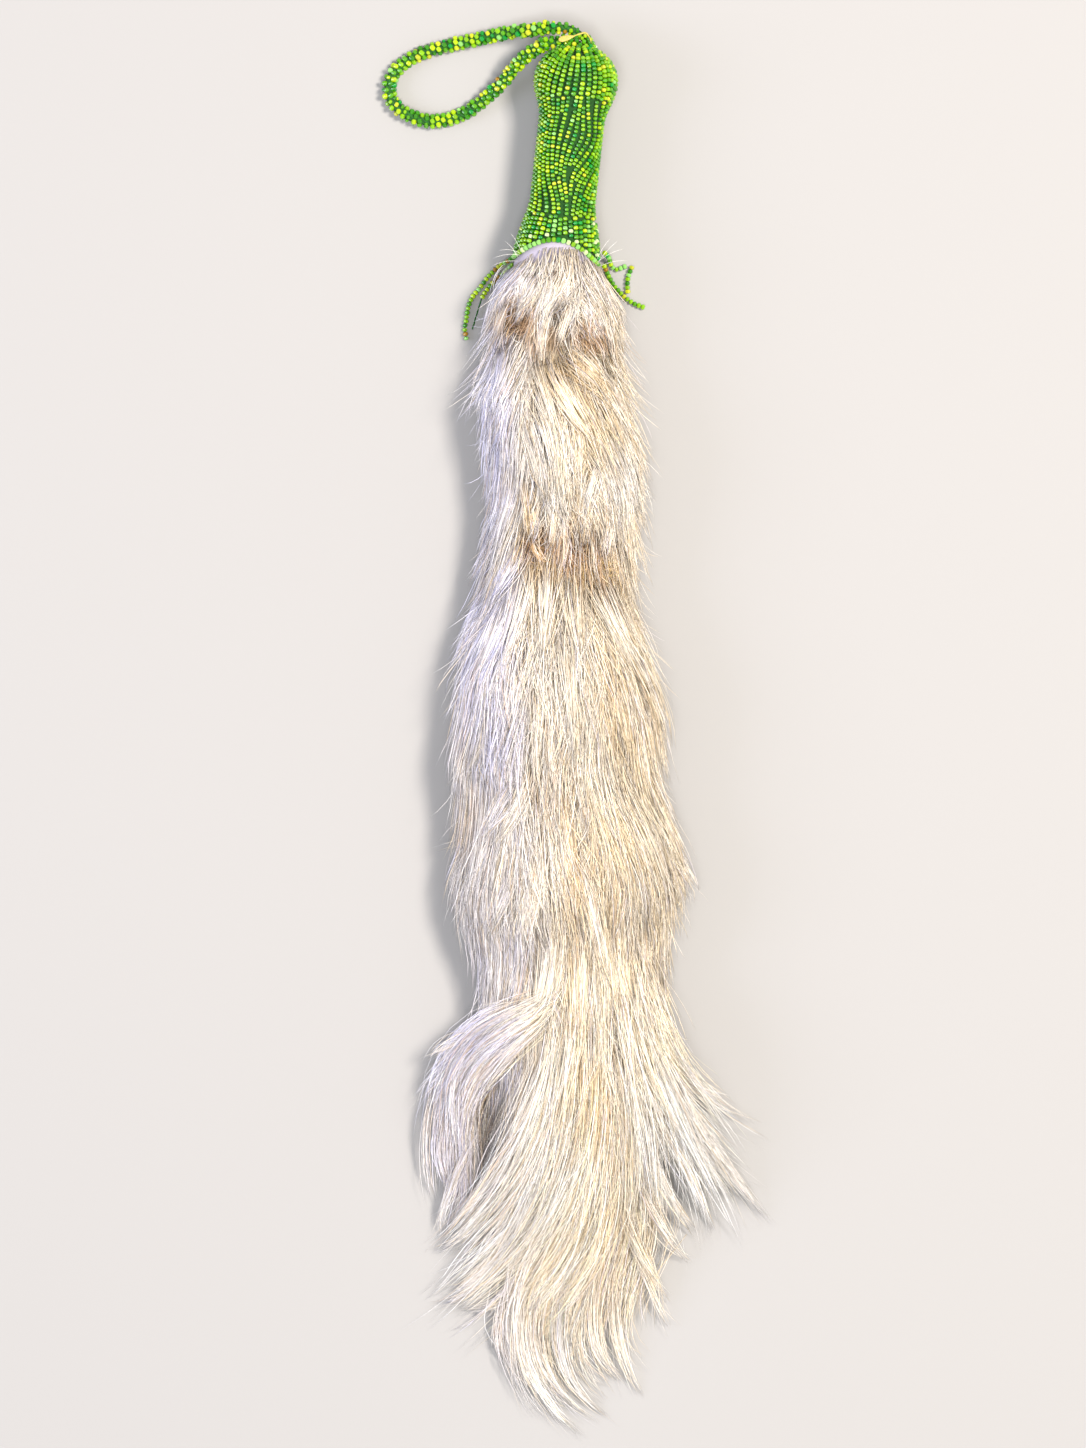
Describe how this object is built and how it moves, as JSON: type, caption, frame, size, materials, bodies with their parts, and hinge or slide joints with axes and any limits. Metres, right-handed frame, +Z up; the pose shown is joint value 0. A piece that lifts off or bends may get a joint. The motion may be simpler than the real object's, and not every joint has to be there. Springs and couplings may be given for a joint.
{
  "type": "fly whisk",
  "caption": "Fly whisk: a bead-covered wooden handle with a domed knob and a wrist loop, and a long switch of pale animal-tail hair bound into its flared skirt.",
  "frame": {"origin": "on the flat underside of the short hair just below the handle, where the whisk lies on the ground", "axes": "+Y along the whisk towards the handle's crown, +X to the right seen from above, +Z up from the ground"},
  "size_m": [0.1905, 0.7099, 0.053],
  "materials": {
    "beads": "glossy opaque glass seed beads in mixed greens",
    "cloth": "woven cotton, dark green",
    "wood": "bare turned wood",
    "hide": "dried pale hide",
    "thread": "waxed thread",
    "tan_leather": "undyed tan leather",
    "hair": "pale cream and white tail hair",
    "under_hair": "tan under-hair"
  },
  "bodies": {
    "handle": {"wooden_core": "wood", "cloth_cover": "cloth", "skirt_beadwork": "beads", "grip_beadwork": "beads", "knob_beadwork": "beads", "hide_sleeve": "hide", "hide_binding": "thread", "crown_rope": "beads", "loop_tab": "tan_leather", "fringe_left_outer": "beads", "fringe_left_inner": "beads", "fringe_right_upper": "beads", "fringe_right_lower": "beads", "fringe_right_upturned": "beads", "hood_fur": "hair", "crease_fur": "under_hair"},
    "wrist_loop": {"wrist_loop": "beads"},
    "tail_upper": {"tail_skin_upper": "hide", "shoulder_fur": "hair", "upper_fur": "hair", "droop_fur": "under_hair"},
    "tail_middle": {"tail_skin_lower": "hide", "middle_fur": "hair", "belly_fur": "hair", "lower_fur": "hair", "waist_fur": "hair", "curl_fur": "under_hair"},
    "tail_tip": {"tip_fur": "hair", "left_curl_lock": "hair", "left_fall_lock": "hair", "right_long_lock": "hair", "right_short_lock": "hair", "tip_tuft": "hair", "tip_side_lock": "hair", "sweep_lock": "hair"}
  },
  "joints": [
    {"name": "loop_swing", "type": "hinge", "parent": "handle", "child": "wrist_loop", "pos_m": [-0.00684, 0.1283, 0.0227], "axis": [0.1097, 0.994, 0], "range_deg": [-20, 90]},
    {"name": "tail_sway", "type": "hinge", "parent": "handle", "child": "tail_upper", "pos_m": [-0.003, -0.023, 0.022], "axis": [0, 0, 1], "range_deg": [-20, 20], "deforming": ["crease_fur"]},
    {"name": "tail_droop", "type": "hinge", "parent": "tail_upper", "child": "tail_middle", "pos_m": [-0.001, -0.128, 0.022], "axis": [-1, 0, 0], "range_deg": [-30, 45], "deforming": ["droop_fur"]},
    {"name": "tail_curl", "type": "hinge", "parent": "tail_middle", "child": "tail_tip", "pos_m": [-0.001, -0.35, 0.022], "axis": [0, 0, 1], "range_deg": [-30, 30], "deforming": ["curl_fur"]}
  ]
}
